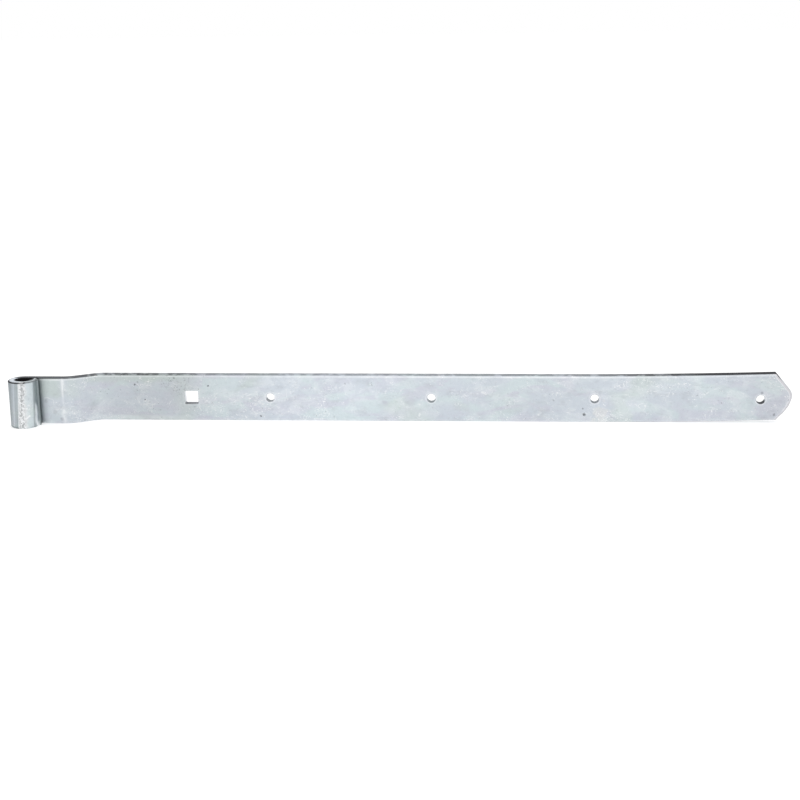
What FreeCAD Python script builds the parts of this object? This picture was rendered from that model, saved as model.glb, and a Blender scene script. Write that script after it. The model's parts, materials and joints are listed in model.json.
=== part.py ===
import FreeCAD, Part
import math
import os
import Sketcher

Vector = FreeCAD.Vector

# A cranked strap hinge band: one flat bar, rolled into an eye at one end and cut to a point at the other.
# The origin is the middle of the eye's bore. +Z runs up the bore, and +X runs along the strap to its tip.
# The roll is on the -Y side of the bar, and the crank sets the strap back towards +Y.

# Driving dimensions, in millimetres and degrees: alias, value, meaning.
SIZES = [
    ("bar_width", 50, "width of the flat bar, which is also the height of the eye"),
    ("bar_thickness", 8, "thickness of the flat bar"),
    ("edge_rounding", 1.5, "rounding of the rolled bar's long edges"),
    ("strap_length", 800, "eye axis to the nose of the tip"),
    ("eye_bore", 14, "diameter of the eye, for a 13 mm hook pin"),
    ("roll_sweep", 265, "angle through which the bar is rolled round the bore"),
    ("toe_flare", 38, "angle by which the roll's toe turns out towards the strap"),
    ("toe_radius", 6, "bend radius of the toe, at the middle of the bar"),
    ("seam_gap", 0.3, "gap left between the toe and the bar that it closes on"),
    ("crank_start", 40, "eye axis to the start of the crank"),
    ("crank_offset", 16, "how far the crank sets the strap back"),
    ("crank_angle", 30, "slope of the crank"),
    ("crank_radius", 25, "bend radius of the crank, at the middle of the bar"),
    ("square_hole", 14, "side of the square hole for a carriage bolt's neck"),
    ("square_corner", 1, "corner radius of the square hole"),
    ("square_hole_place", 174, "eye axis to the middle of the square hole"),
    ("round_hole", 9, "diameter of the screw holes"),
    ("round_hole_count", 4, "number of screw holes"),
    ("first_hole_place", 258, "eye axis to the screw hole nearest to it"),
    ("last_hole_margin", 32, "last screw hole to the nose of the tip"),
    ("nose_radius", 11.5, "rounding of the nose of the tip"),
    ("tip_slant", 52, "slope of the tip's two cut edges"),
    ("camber_length", 225, "length of the tip end that sweeps up a little, edgewise"),
    ("camber_radius", 7000, "radius of that sweep"),
]
VALUE = {alias: value for alias, value, meaning in SIZES}


def make_sheet(document):
    """The spreadsheet that holds the driving dimensions."""
    sheet = document.addObject("Spreadsheet::Sheet", "sizes")
    for row, (alias, value, meaning) in enumerate(SIZES, start=1):
        sheet.set(f"A{row}", alias)
        sheet.set(f"B{row}", str(value))
        sheet.setAlias(f"B{row}", alias)
        sheet.set(f"C{row}", meaning)
    document.recompute()
    return sheet


def plane(body, role):
    """The body's own origin plane or axis of this role."""
    return next(item for item in body.Origin.OriginFeatures if item.Role == role)


def new_sketch(body, name, role, offset=None):
    """A sketch on an origin plane of the body, moved along the plane's normal by a formula."""
    sketch = body.newObject("Sketcher::SketchObject", name)
    sketch.AttachmentSupport = [(plane(body, role), "")]
    sketch.MapMode = "FlatFace"
    if offset:
        sketch.setExpression("AttachmentOffset.Base.z", offset)
    return sketch


def add_size(sketch, name, formula, *constraint):
    """Add a dimension to a sketch and tie it to a formula of the driving dimensions."""
    index = sketch.addConstraint(Sketcher.Constraint(*constraint))
    sketch.renameConstraint(index, name)
    sketch.setExpression("Constraints." + name, formula)


def add_rules(sketch, rules):
    """Add geometric constraints, each given as the arguments of Sketcher.Constraint."""
    for rule in rules:
        sketch.addConstraint(Sketcher.Constraint(*rule))


def line(start, end):
    return Part.LineSegment(Vector(*start, 0), Vector(*end, 0))


def arc(centre, radius, from_degrees, to_degrees):
    circle = Part.Circle(Vector(*centre, 0), Vector(0, 0, 1), radius)
    return Part.ArcOfCircle(circle, math.radians(from_degrees), math.radians(to_degrees))


def polar(centre, radius, degrees):
    angle = math.radians(degrees)
    return (centre[0] + radius * math.cos(angle), centre[1] + radius * math.sin(angle))


# Sketcher's numbers for the origin point, the two axes, and the points of a line or an arc.
Y_AXIS, X_AXIS = range(-2, 0)
ORIGIN = X_AXIS
START, END, CENTRE = range(1, 4)

# Places that follow from the driving dimensions: the radius of the roll at the middle of the bar,
# how far back the middle of the strap lies, where the plain strap takes over from the bent bar,
# and where the sweep of the tip end begins.
ROLL_RADIUS = "(sizes.eye_bore + sizes.bar_thickness) / 2"
STRAP_PLACE = "(" + ROLL_RADIUS + " + sizes.crank_offset)"
STRAP_START = "(sizes.crank_start + 2 * sizes.crank_radius + 2 * sizes.crank_offset)"
CAMBER_START = "(sizes.strap_length - sizes.camber_length)"

roll_radius = (VALUE["eye_bore"] + VALUE["bar_thickness"]) / 2
strap_place = roll_radius + VALUE["crank_offset"]
strap_start = VALUE["crank_start"] + 2 * VALUE["crank_radius"] + 2 * VALUE["crank_offset"]
camber_start = VALUE["strap_length"] - VALUE["camber_length"]


def draw_bend_line(body):
    """The middle line of the bent bar, seen from above: toe, roll, flat, crank, and on to the plain strap."""
    sketch = new_sketch(body, "bend_line", "XY_Plane")
    roll_end = 90 + VALUE["roll_sweep"]
    toe_centre = polar((0, 0), roll_radius + VALUE["toe_radius"], roll_end)
    toe_joint = polar(toe_centre, VALUE["toe_radius"], roll_end - 180 - VALUE["toe_flare"])
    toe_direction = VALUE["roll_sweep"] - 180 - VALUE["toe_flare"]
    toe_tip = polar(toe_joint, VALUE["bar_thickness"], toe_direction)
    slope = VALUE["crank_angle"]
    crank_radius = VALUE["crank_radius"]
    bend_one = (VALUE["crank_start"], roll_radius + crank_radius)
    slope_start = polar(bend_one, crank_radius, slope - 90)
    slope_rise = VALUE["crank_offset"] - 2 * crank_radius * (1 - math.cos(math.radians(slope)))
    slope_end = polar(slope_start, slope_rise / math.sin(math.radians(slope)), slope)
    bend_two = polar(slope_end, crank_radius, slope - 90)
    crank_end = (bend_two[0], strap_place)

    toe = sketch.addGeometry(line(toe_tip, toe_joint))
    toe_bend = sketch.addGeometry(
        arc(toe_centre, VALUE["toe_radius"], roll_end - 180 - VALUE["toe_flare"], roll_end - 180)
    )
    roll = sketch.addGeometry(arc((0, 0), roll_radius, 90, roll_end))
    flat = sketch.addGeometry(line((0, roll_radius), (VALUE["crank_start"], roll_radius)))
    first_bend = sketch.addGeometry(arc(bend_one, crank_radius, -90, slope - 90))
    ramp = sketch.addGeometry(line(slope_start, slope_end))
    second_bend = sketch.addGeometry(arc(bend_two, crank_radius, 90, 90 + slope))
    strap = sketch.addGeometry(line(crank_end, (strap_start, strap_place)))

    add_rules(
        sketch,
        [
            ("Coincident", roll, CENTRE, ORIGIN, START),
            ("PointOnObject", roll, START, Y_AXIS),
            ("Tangent", roll, START, flat, START),
            ("Tangent", flat, END, first_bend, START),
            ("Tangent", first_bend, END, ramp, START),
            ("Tangent", ramp, END, second_bend, END),
            ("Tangent", second_bend, START, strap, START),
            ("Horizontal", strap),
            ("Tangent", roll, END, toe_bend, END),
            ("Tangent", toe_bend, START, toe, END),
        ],
    )
    add_size(sketch, "roll_radius", ROLL_RADIUS, "Radius", roll, roll_radius)
    add_size(sketch, "crank_start", "sizes.crank_start",
             "DistanceX", ORIGIN, START, flat, END, VALUE["crank_start"])
    add_size(sketch, "first_bend_radius", "sizes.crank_radius", "Radius", first_bend, crank_radius)
    add_size(sketch, "second_bend_radius", "sizes.crank_radius", "Radius", second_bend, crank_radius)
    add_size(sketch, "crank_angle", "sizes.crank_angle",
             "Angle", X_AXIS, START, ramp, START, math.radians(slope))
    add_size(sketch, "strap_place", STRAP_PLACE,
             "DistanceY", ORIGIN, START, strap, END, strap_place)
    add_size(sketch, "strap_start", STRAP_START,
             "DistanceX", ORIGIN, START, strap, END, strap_start)
    add_size(sketch, "roll_sweep", "sizes.roll_sweep", "Angle", roll, math.radians(VALUE["roll_sweep"]))
    add_size(sketch, "toe_radius", "sizes.toe_radius", "Radius", toe_bend, VALUE["toe_radius"])
    add_size(sketch, "toe_flare", "sizes.toe_flare",
             "Angle", toe_bend, math.radians(VALUE["toe_flare"]))
    # The toe's inner corner stops one seam gap short of the bar.
    toe_reach = (
        VALUE["eye_bore"] / 2
        - VALUE["seam_gap"]
        - VALUE["bar_thickness"] / 2 * math.cos(math.radians(toe_direction))
    )
    add_size(
        sketch,
        "toe_reach",
        "sizes.eye_bore / 2 - sizes.seam_gap"
        " - sizes.bar_thickness / 2 * cos(sizes.roll_sweep - 180 - sizes.toe_flare)",
        "DistanceY", ORIGIN, START, toe, START, toe_reach,
    )
    return sketch


def draw_bar_section(body):
    """The flat bar's section, where the plain strap takes over from the bent end."""
    sketch = new_sketch(body, "bar_section", "YZ_Plane", STRAP_START)
    front = strap_place - VALUE["bar_thickness"] / 2
    back = strap_place + VALUE["bar_thickness"] / 2
    low = -VALUE["bar_width"] / 2
    high = VALUE["bar_width"] / 2
    bottom = sketch.addGeometry(line((front, low), (back, low)))
    back_side = sketch.addGeometry(line((back, low), (back, high)))
    top = sketch.addGeometry(line((back, high), (front, high)))
    front_side = sketch.addGeometry(line((front, high), (front, low)))
    add_rules(
        sketch,
        [
            ("Coincident", bottom, END, back_side, START),
            ("Coincident", back_side, END, top, START),
            ("Coincident", top, END, front_side, START),
            ("Coincident", front_side, END, bottom, START),
            ("Horizontal", bottom),
            ("Horizontal", top),
            ("Vertical", back_side),
            ("Symmetric", bottom, START, top, END, X_AXIS),
        ],
    )
    add_size(sketch, "bar_thickness", "sizes.bar_thickness",
             "DistanceX", bottom, START, bottom, END, VALUE["bar_thickness"])
    add_size(sketch, "bar_width", "sizes.bar_width",
             "DistanceY", back_side, START, back_side, END, VALUE["bar_width"])
    add_size(sketch, "front_place", STRAP_PLACE + " - sizes.bar_thickness / 2",
             "DistanceX", ORIGIN, START, bottom, START, front)
    return sketch


def draw_strap_outline(body):
    """The strap seen from the front: straight, then swept up a little, and cut to a rounded point."""
    sketch = new_sketch(body, "strap_outline", "XZ_Plane", "-" + STRAP_PLACE)
    half = VALUE["bar_width"] / 2
    sweep_centre = (camber_start, VALUE["camber_radius"])
    nose_half_angle = 90 - VALUE["tip_slant"]
    nose_radius = VALUE["nose_radius"]
    slant_rise = half - nose_radius * math.sin(math.radians(nose_half_angle))
    tip_depth = (
        nose_radius * (1 - math.cos(math.radians(nose_half_angle)))
        + slant_rise / math.tan(math.radians(VALUE["tip_slant"]))
    )
    tip_tilt = math.degrees((VALUE["camber_length"] - tip_depth) / VALUE["camber_radius"])
    low_corner = polar(sweep_centre, VALUE["camber_radius"] + half, tip_tilt - 90)
    high_corner = polar(sweep_centre, VALUE["camber_radius"] - half, tip_tilt - 90)
    middle = polar(sweep_centre, VALUE["camber_radius"], tip_tilt - 90)
    nose = polar(middle, tip_depth, tip_tilt)
    nose_centre = polar(nose, -nose_radius, tip_tilt)
    low_joint = polar(nose_centre, nose_radius, tip_tilt - nose_half_angle)
    high_joint = polar(nose_centre, nose_radius, tip_tilt + nose_half_angle)

    bottom = sketch.addGeometry(line((strap_start, -half), (camber_start, -half)))
    bottom_sweep = sketch.addGeometry(
        arc(sweep_centre, VALUE["camber_radius"] + half, -90, tip_tilt - 90)
    )
    low_cut = sketch.addGeometry(line(low_corner, low_joint))
    nose_arc = sketch.addGeometry(
        arc(nose_centre, nose_radius, tip_tilt - nose_half_angle, tip_tilt + nose_half_angle)
    )
    high_cut = sketch.addGeometry(line(high_joint, high_corner))
    top_sweep = sketch.addGeometry(
        arc(sweep_centre, VALUE["camber_radius"] - half, -90, tip_tilt - 90)
    )
    top = sketch.addGeometry(line((camber_start, half), (strap_start, half)))
    joint = sketch.addGeometry(line((strap_start, half), (strap_start, -half)))
    tip_axis = sketch.addGeometry(line(middle, nose), True)
    tip_base = sketch.addGeometry(line(low_corner, high_corner), True)

    add_rules(
        sketch,
        [
            ("Coincident", joint, END, bottom, START),
            ("Coincident", top, END, joint, START),
            ("Horizontal", bottom),
            ("Horizontal", top),
            ("Symmetric", joint, START, joint, END, X_AXIS),
            ("Tangent", bottom, END, bottom_sweep, START),
            ("Tangent", top, START, top_sweep, START),
            ("Coincident", top_sweep, CENTRE, bottom_sweep, CENTRE),
            ("Coincident", bottom_sweep, END, low_cut, START),
            ("Coincident", top_sweep, END, high_cut, END),
            ("Tangent", low_cut, END, nose_arc, START),
            ("Tangent", nose_arc, END, high_cut, START),
            ("Coincident", tip_base, START, low_cut, START),
            ("Coincident", tip_base, END, high_cut, END),
            ("PointOnObject", bottom_sweep, CENTRE, tip_base),
            ("Symmetric", tip_base, START, tip_base, END, tip_axis, START),
            ("Perpendicular", tip_base, tip_axis),
            ("PointOnObject", nose_arc, CENTRE, tip_axis),
            ("PointOnObject", tip_axis, END, nose_arc),
        ],
    )
    add_size(sketch, "bar_width", "sizes.bar_width",
             "DistanceY", joint, END, joint, START, VALUE["bar_width"])
    add_size(sketch, "strap_start", STRAP_START,
             "DistanceX", ORIGIN, START, joint, END, strap_start)
    add_size(sketch, "camber_start", CAMBER_START,
             "DistanceX", ORIGIN, START, bottom, END, camber_start)
    add_size(sketch, "camber_radius", "sizes.camber_radius + sizes.bar_width / 2",
             "Radius", bottom_sweep, VALUE["camber_radius"] + half)
    add_size(sketch, "strap_length", "sizes.strap_length",
             "DistanceX", ORIGIN, START, tip_axis, END, nose[0])
    add_size(sketch, "nose_radius", "sizes.nose_radius", "Radius", nose_arc, nose_radius)
    add_size(sketch, "tip_slant", "180 - 2 * sizes.tip_slant",
             "Angle", nose_arc, math.radians(2 * nose_half_angle))
    return sketch


def draw_round_hole(body):
    """The screw hole nearest to the eye, on the middle line of the straight bar."""
    sketch = new_sketch(body, "round_hole_sketch", "XZ_Plane", "-" + STRAP_PLACE)
    circle = Part.Circle(Vector(VALUE["first_hole_place"], 0, 0), Vector(0, 0, 1), VALUE["round_hole"] / 2)
    hole = sketch.addGeometry(circle)
    add_rules(sketch, [("PointOnObject", hole, CENTRE, X_AXIS)])
    add_size(sketch, "place", "sizes.first_hole_place",
             "DistanceX", ORIGIN, START, hole, CENTRE, VALUE["first_hole_place"])
    add_size(sketch, "round_hole", "sizes.round_hole", "Diameter", hole, VALUE["round_hole"])
    return sketch


def draw_square_hole(body):
    """The square hole with its rounded corners, on the middle line of the straight bar."""
    sketch = new_sketch(body, "square_hole_sketch", "XZ_Plane", "-" + STRAP_PLACE)
    half = VALUE["square_hole"] / 2
    radius = VALUE["square_corner"]
    inner = half - radius
    middle = VALUE["square_hole_place"]
    sides = []
    corners = []
    for quarter in range(4):
        turn = 90 * quarter
        corner = polar(polar((middle, 0), inner, turn), inner, turn + 90)
        previous = polar(polar((middle, 0), inner, turn), inner, turn - 90)
        sides.append(sketch.addGeometry(line(polar(previous, radius, turn), polar(corner, radius, turn))))
        corners.append(sketch.addGeometry(arc(corner, radius, turn, turn + 90)))
    right, top, left, bottom = sides
    for quarter in range(4):
        following = sides[(quarter + 1) % 4]
        add_rules(
            sketch,
            [
                ("Tangent", sides[quarter], END, corners[quarter], START),
                ("Tangent", corners[quarter], END, following, START),
            ],
        )
        if quarter:
            add_rules(sketch, [("Equal", corners[0], corners[quarter])])
    add_rules(
        sketch,
        [
            ("Horizontal", top),
            ("Vertical", left),
            ("Horizontal", bottom),
            ("Symmetric", right, START, right, END, X_AXIS),
        ],
    )
    add_size(sketch, "corner", "sizes.square_corner", "Radius", corners[0], radius)
    add_size(sketch, "width", "sizes.square_hole",
             "DistanceX", left, START, right, START, VALUE["square_hole"])
    add_size(sketch, "height", "sizes.square_hole",
             "DistanceY", bottom, END, top, START, VALUE["square_hole"])
    add_size(sketch, "right_side", "sizes.square_hole_place + sizes.square_hole / 2",
             "DistanceX", ORIGIN, START, right, START, middle + half)
    return sketch


def cut_through(body, name, sketch):
    """Cut a sketch right through the strap, to both sides."""
    pocket = body.newObject("PartDesign::Pocket", name)
    pocket.Profile = sketch
    pocket.Type = "ThroughAll"
    pocket.SideType = "Symmetric"
    return pocket


def long_edges(shape, thickness):
    """Names of the edges that run along the bar, leaving out those across its thickness and its width."""
    names = []
    for number, edge in enumerate(shape.Edges, start=1):
        straight = edge.Curve.TypeId == "Part::GeomLine"
        along_width = straight and abs(edge.tangentAt(edge.FirstParameter).z) > 0.999
        across_thickness = straight and abs(edge.Length - thickness) < 1e-4
        if not along_width and not across_thickness:
            names.append(f"Edge{number}")
    return names


def make_band(document):
    """The whole band as one body."""
    body = document.addObject("PartDesign::Body", "band")
    body.Label = "band"

    outline = draw_strap_outline(body)
    plate = body.newObject("PartDesign::Pad", "strap_plate")
    plate.Profile = outline
    plate.SideType = "Symmetric"
    plate.setExpression("Length", "sizes.bar_thickness")
    document.recompute()

    bend_line = draw_bend_line(body)
    section = draw_bar_section(body)
    document.recompute()
    bent_end = body.newObject("PartDesign::AdditivePipe", "bent_end")
    bent_end.Profile = section
    bent_end.Spine = (bend_line, [f"Edge{number + 1}" for number in range(len(bend_line.Shape.Edges))])
    document.recompute()

    rounding = body.newObject("PartDesign::Fillet", "rolled_edges")
    rounding.Base = (bent_end, long_edges(bent_end.Shape, VALUE["bar_thickness"]))
    rounding.setExpression("Radius", "sizes.edge_rounding")
    document.recompute()

    cut_through(body, "square_hole", draw_square_hole(body))
    document.recompute()

    screw_hole = cut_through(body, "screw_hole", draw_round_hole(body))
    document.recompute()
    screw_holes = body.newObject("PartDesign::LinearPattern", "screw_holes")
    screw_holes.Originals = [screw_hole]
    screw_holes.Direction = (plane(body, "X_Axis"), [""])
    screw_holes.setExpression("Length",
                              "sizes.strap_length - sizes.last_hole_margin - sizes.first_hole_place")
    screw_holes.setExpression("Occurrences", "sizes.round_hole_count")
    body.Tip = screw_holes
    document.recompute()
    return body


def check(document, bodies):
    """Stop if any object of the document failed, or a body's shape isn't one sound solid."""
    for item in document.Objects:
        if "Invalid" in item.State or "Error" in item.State:
            raise RuntimeError(f"{item.Name} failed: {item.State}")
    for body in bodies:
        shape = body.Shape
        if shape.isNull() or not shape.isValid() or len(shape.Solids) != 1:
            raise RuntimeError(f"{body.Label} is not one sound solid")


def main():
    document = FreeCAD.newDocument("strap_hinge_band")
    make_sheet(document)
    bodies = [make_band(document)]
    check(document, bodies)
    os.makedirs("parts", exist_ok=True)
    for body in bodies:
        body.Shape.exportStep(f"parts/{body.Label}.step")
        box = body.Shape.BoundBox
        print(body.Label, "volume", round(body.Shape.Volume, 1), "faces", len(body.Shape.Faces))
        print("x", round(box.XMin, 2), round(box.XMax, 2), "y", round(box.YMin, 2), round(box.YMax, 2),
              "z", round(box.ZMin, 2), round(box.ZMax, 2))


main()
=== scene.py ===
import json
import math

import bmesh
import bpy
from mathutils import Matrix, Vector, noise


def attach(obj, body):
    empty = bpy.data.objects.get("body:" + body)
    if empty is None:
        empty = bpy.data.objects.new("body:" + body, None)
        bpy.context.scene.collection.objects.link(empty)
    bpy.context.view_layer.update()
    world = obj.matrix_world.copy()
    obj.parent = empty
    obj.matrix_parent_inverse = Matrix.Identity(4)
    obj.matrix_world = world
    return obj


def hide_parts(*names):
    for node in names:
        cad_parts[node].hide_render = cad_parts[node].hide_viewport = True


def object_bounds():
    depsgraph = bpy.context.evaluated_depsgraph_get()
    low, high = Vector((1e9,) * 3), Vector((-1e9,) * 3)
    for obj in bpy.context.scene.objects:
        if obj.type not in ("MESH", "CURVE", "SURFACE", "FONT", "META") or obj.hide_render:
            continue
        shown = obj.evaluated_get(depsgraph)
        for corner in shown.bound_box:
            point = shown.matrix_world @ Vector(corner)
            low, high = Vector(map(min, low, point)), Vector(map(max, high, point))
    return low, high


# A galvanised, cranked strap hinge band, standing on its lower edge on a pale studio floor.
# Every size here is in metres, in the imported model's own frame: +X runs along the strap to its tip,
# +Y goes away from the viewer, and +Z is up.

MM = 0.001
PHOTO_SIDE = 800

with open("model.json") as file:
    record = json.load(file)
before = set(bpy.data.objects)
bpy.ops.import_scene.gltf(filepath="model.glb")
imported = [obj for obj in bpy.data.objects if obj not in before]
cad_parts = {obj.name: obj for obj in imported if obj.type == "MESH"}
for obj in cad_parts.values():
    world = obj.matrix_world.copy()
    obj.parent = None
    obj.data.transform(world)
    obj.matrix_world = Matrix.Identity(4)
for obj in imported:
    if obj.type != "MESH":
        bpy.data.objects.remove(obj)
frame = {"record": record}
cad_low, cad_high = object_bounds()
mounts = {mount["name"]: mount for mount in frame["record"]["mounts"]}

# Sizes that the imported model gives.
BORE_RADIUS = mounts["eye_bore"]["dims"]["r_mm"] * MM
EYE_RADIUS = -cad_low.x
THICKNESS = EYE_RADIUS - BORE_RADIUS
HALF_WIDTH = -cad_low.z
STRAP_BACK = mounts["back_face"]["pos_m"][1]
NOSE_X = cad_high.x
SQUARE_HOLE_X = mounts["square_hole"]["pos_m"][0]
SCREW_HOLE_RADIUS = mounts["outer_screw_holes"]["dims"]["hole_r_mm"] * MM
SCREW_HOLE_XS = sorted(
    mounts[name]["pos_m"][0] + side * mounts[name]["dims"]["spacing_x_mm"] * MM / 2
    for name in ("outer_screw_holes", "inner_screw_holes")
    for side in (-1, 1)
)

# Sizes that it doesn't give, the same as in the solid.
EDGE_ROUNDING = 1.5 * MM
ROLL_SWEEP = 265
TOE_FLARE = 38
TOE_RADIUS = 6 * MM
SEAM_GAP = 0.3 * MM
CRANK_START = 40 * MM
CRANK_ANGLE = 30
CRANK_RADIUS = 25 * MM
SQUARE_HOLE = 14 * MM
SQUARE_CORNER = 1 * MM
NOSE_RADIUS = 11.5 * MM
TIP_SLANT = math.radians(52)
CAMBER_LENGTH = 225 * MM
CAMBER_RADIUS = 7000 * MM

MID_RADIUS = BORE_RADIUS + THICKNESS / 2
STRAP_MIDDLE = STRAP_BACK - THICKNESS / 2
CRANK_OFFSET = STRAP_MIDDLE - MID_RADIUS


def smooth(low, high, value):
    """0 below low, 1 above high, and a smooth step between."""
    share = min(1.0, max(0.0, (value - low) / (high - low)))
    return share * share * (3 - 2 * share)


# The middle line of the bar, seen from above

class Pen:
    """Walks along straight runs and arcs, and notes a point and a heading at each small step."""

    def __init__(self, x, y, heading):
        self.x, self.y, self.heading = x, y, heading
        self.stations = [(x, y, heading)]

    def run(self, length, step):
        count = max(1, round(length / step))
        for _ in range(count):
            self.x += length / count * math.cos(self.heading)
            self.y += length / count * math.sin(self.heading)
            self.stations.append((self.x, self.y, self.heading))

    def turn(self, degrees, radius, step):
        side = math.copysign(1, degrees)
        centre_x = self.x - side * radius * math.sin(self.heading)
        centre_y = self.y + side * radius * math.cos(self.heading)
        count = max(1, round(math.radians(abs(degrees)) * radius / step))
        for _ in range(count):
            self.heading += math.radians(degrees) / count
            self.x = centre_x + side * radius * math.sin(self.heading)
            self.y = centre_y - side * radius * math.cos(self.heading)
            self.stations.append((self.x, self.y, self.heading))


FINE_STEP = 0.6 * MM
MIDDLE_STEP = 1.2 * MM
COARSE_STEP = 1.8 * MM


def bent_end_stations():
    """From the toe, round the roll, along the flat and through the crank: (x, y, heading) at each step."""
    roll = Pen(0, MID_RADIUS, math.pi)
    roll.turn(ROLL_SWEEP, MID_RADIUS, FINE_STEP)
    roll.turn(-TOE_FLARE, TOE_RADIUS, FINE_STEP)
    toe_top = BORE_RADIUS - SEAM_GAP - THICKNESS / 2 * math.cos(roll.heading)
    roll.run((toe_top - roll.y) / math.sin(roll.heading), FINE_STEP)
    stations = [(x, y, heading + math.pi) for x, y, heading in reversed(roll.stations)]

    strap = Pen(0, MID_RADIUS, 0)
    strap.run(CRANK_START, MIDDLE_STEP)
    strap.turn(CRANK_ANGLE, CRANK_RADIUS, MIDDLE_STEP)
    slope = math.radians(CRANK_ANGLE)
    rise = CRANK_OFFSET - 2 * CRANK_RADIUS * (1 - math.cos(slope))
    strap.run(rise / math.sin(slope), MIDDLE_STEP)
    strap.turn(-CRANK_ANGLE, CRANK_RADIUS, MIDDLE_STEP)
    return stations + strap.stations[1:]


# The bar's section: points with a depth in the bar's thickness, a height, and an inset from the outline

FACE_STEPS = 30
ROUNDING_STEPS = 5
EDGE_STEPS = 4
RIM_ROWS = (0.7 * MM, 1.4 * MM, 2.2 * MM)


def section():
    """Points round the rounded rectangle: (depth, share of the half width, inset)."""
    half_depth = THICKNESS / 2
    flat_depth = half_depth - EDGE_ROUNDING
    quarter = []
    for step in range(ROUNDING_STEPS + 1):
        angle = math.pi / 2 * step / ROUNDING_STEPS
        depth = flat_depth + EDGE_ROUNDING * math.cos(angle)
        quarter.append((depth, EDGE_ROUNDING * (1 - math.sin(angle))))
    rim = [EDGE_ROUNDING + row for row in RIM_ROWS]
    face = [(-1, inset) for inset in rim]
    face += [(-1 + 2 * step / FACE_STEPS, rim[-1]) for step in range(1, FACE_STEPS)]
    face += [(1, inset) for inset in reversed(rim)]
    side = [flat_depth - 2 * flat_depth * step / EDGE_STEPS for step in range(1, EDGE_STEPS)]
    points = [(half_depth, share, inset) for share, inset in face]
    points += [(depth, 1, inset) for depth, inset in quarter]
    points += [(depth, 1, 0) for depth in side]
    points += [(-depth, 1, inset) for depth, inset in reversed(quarter)]
    points += [(-half_depth, share, inset) for share, inset in reversed(face)]
    points += [(-depth, -1, inset) for depth, inset in quarter]
    points += [(-depth, -1, 0) for depth in side]
    points += [(depth, -1, inset) for depth, inset in reversed(quarter)]
    return points


# The strap's outline: straight, swept up a little towards the tip, and cut to a rounded point

NOSE_ANGLE = math.pi / 2 - TIP_SLANT
SLANT_RISE = HALF_WIDTH - NOSE_RADIUS * math.sin(NOSE_ANGLE)
TIP_DEPTH = NOSE_RADIUS * (1 - math.cos(NOSE_ANGLE)) + SLANT_RISE / math.tan(TIP_SLANT)
TIP_TILT = (CAMBER_LENGTH - TIP_DEPTH) / CAMBER_RADIUS
CAMBER_START = NOSE_X - CAMBER_LENGTH
TIP_BASE = CAMBER_START + CAMBER_LENGTH - TIP_DEPTH
TIP_REGION = TIP_BASE - 4 * MM
SLANT_STEPS = 16
NOSE_STEPS = 14
WELD = 0.002 * MM


def swept(x, z):
    """A point of the straight strap, moved on to the sweep of its tip end."""
    if x <= CAMBER_START:
        return x, z
    angle = min(x - CAMBER_START, TIP_BASE - CAMBER_START) / CAMBER_RADIUS
    beyond = max(0.0, x - TIP_BASE)
    radius = CAMBER_RADIUS - z
    along = CAMBER_START + radius * math.sin(angle) + beyond * math.cos(angle)
    up = CAMBER_RADIUS - radius * math.cos(angle) + beyond * math.sin(angle)
    return along, up


def outline_rows(start_x):
    """Functions of the inset that give (x, half width) along the strap, from start_x to the nose."""
    rows = []
    straight = TIP_BASE - start_x
    count = round(straight / COARSE_STEP)
    for step in range(1, count + 1):
        share = step / count

        def row(inset, share=share):
            corner = TIP_BASE - inset * math.tan(TIP_SLANT / 2)
            return start_x + (corner - start_x) * share, HALF_WIDTH - inset
        rows.append(row)
    nose_centre = TIP_BASE + TIP_DEPTH - NOSE_RADIUS
    for step in range(1, SLANT_STEPS + 1):
        share = step / SLANT_STEPS

        def row(inset, share=share):
            corner = TIP_BASE - inset * math.tan(TIP_SLANT / 2)
            joint_x = nose_centre + (NOSE_RADIUS - inset) * math.cos(NOSE_ANGLE)
            joint_z = (NOSE_RADIUS - inset) * math.sin(NOSE_ANGLE)
            x = corner + (joint_x - corner) * share
            return x, HALF_WIDTH - inset + (joint_z - HALF_WIDTH + inset) * share
        rows.append(row)
    for step in range(1, NOSE_STEPS + 1):
        angle = NOSE_ANGLE * (1 - step / NOSE_STEPS)

        def row(inset, angle=angle):
            radius = NOSE_RADIUS - inset
            return nose_centre + radius * math.cos(angle), radius * math.sin(angle)
        rows.append(row)
    return rows


def bar_mesh():
    """The whole bent bar without its holes, as one closed mesh."""
    points = section()
    rings = []
    for x, y, heading in bent_end_stations():
        ring = []
        for depth, share, inset in points:
            ring.append((
                x - depth * math.sin(heading),
                y + depth * math.cos(heading),
                share * (HALF_WIDTH - inset),
            ))
        rings.append(ring)
    for row in outline_rows(rings[-1][0][0]):
        ring = []
        for depth, share, inset in points:
            x, half_width = row(inset)
            x, z = swept(x, share * half_width)
            ring.append((x, STRAP_MIDDLE + depth, z))
        rings.append(ring)

    mesh = bmesh.new()
    grid = [[mesh.verts.new(point) for point in ring] for ring in rings]
    count = len(points)
    for first, second in zip(grid, grid[1:]):
        for index in range(count):
            following = (index + 1) % count
            mesh.faces.new((first[index], second[index], second[following], first[following]))
    mesh.faces.new(grid[0])
    bmesh.ops.remove_doubles(mesh, verts=mesh.verts, dist=WELD)
    bmesh.ops.dissolve_degenerate(mesh, edges=mesh.edges, dist=WELD / 2)
    refine(mesh, near_rough_strip)
    refine(mesh, near_tip)
    refine(mesh, near_holes)
    bmesh.ops.recalc_face_normals(mesh, faces=mesh.faces)
    return mesh


# Regions with a finer mesh for the relief: round the rough strip, and round each hole on both faces.
STRIP_REGION_HALF_WIDTH = 9 * MM
STRIP_REGION_BACK = -8 * MM
SQUARE_HOLE_REGION = 12 * MM
SCREW_HOLE_REGION = 9 * MM
FACE_DEPTH = 0.1 * MM


def near_rough_strip(place):
    return abs(place.x) < STRIP_REGION_HALF_WIDTH and place.y < STRIP_REGION_BACK


def near_tip(place):
    return place.x > TIP_REGION


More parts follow.
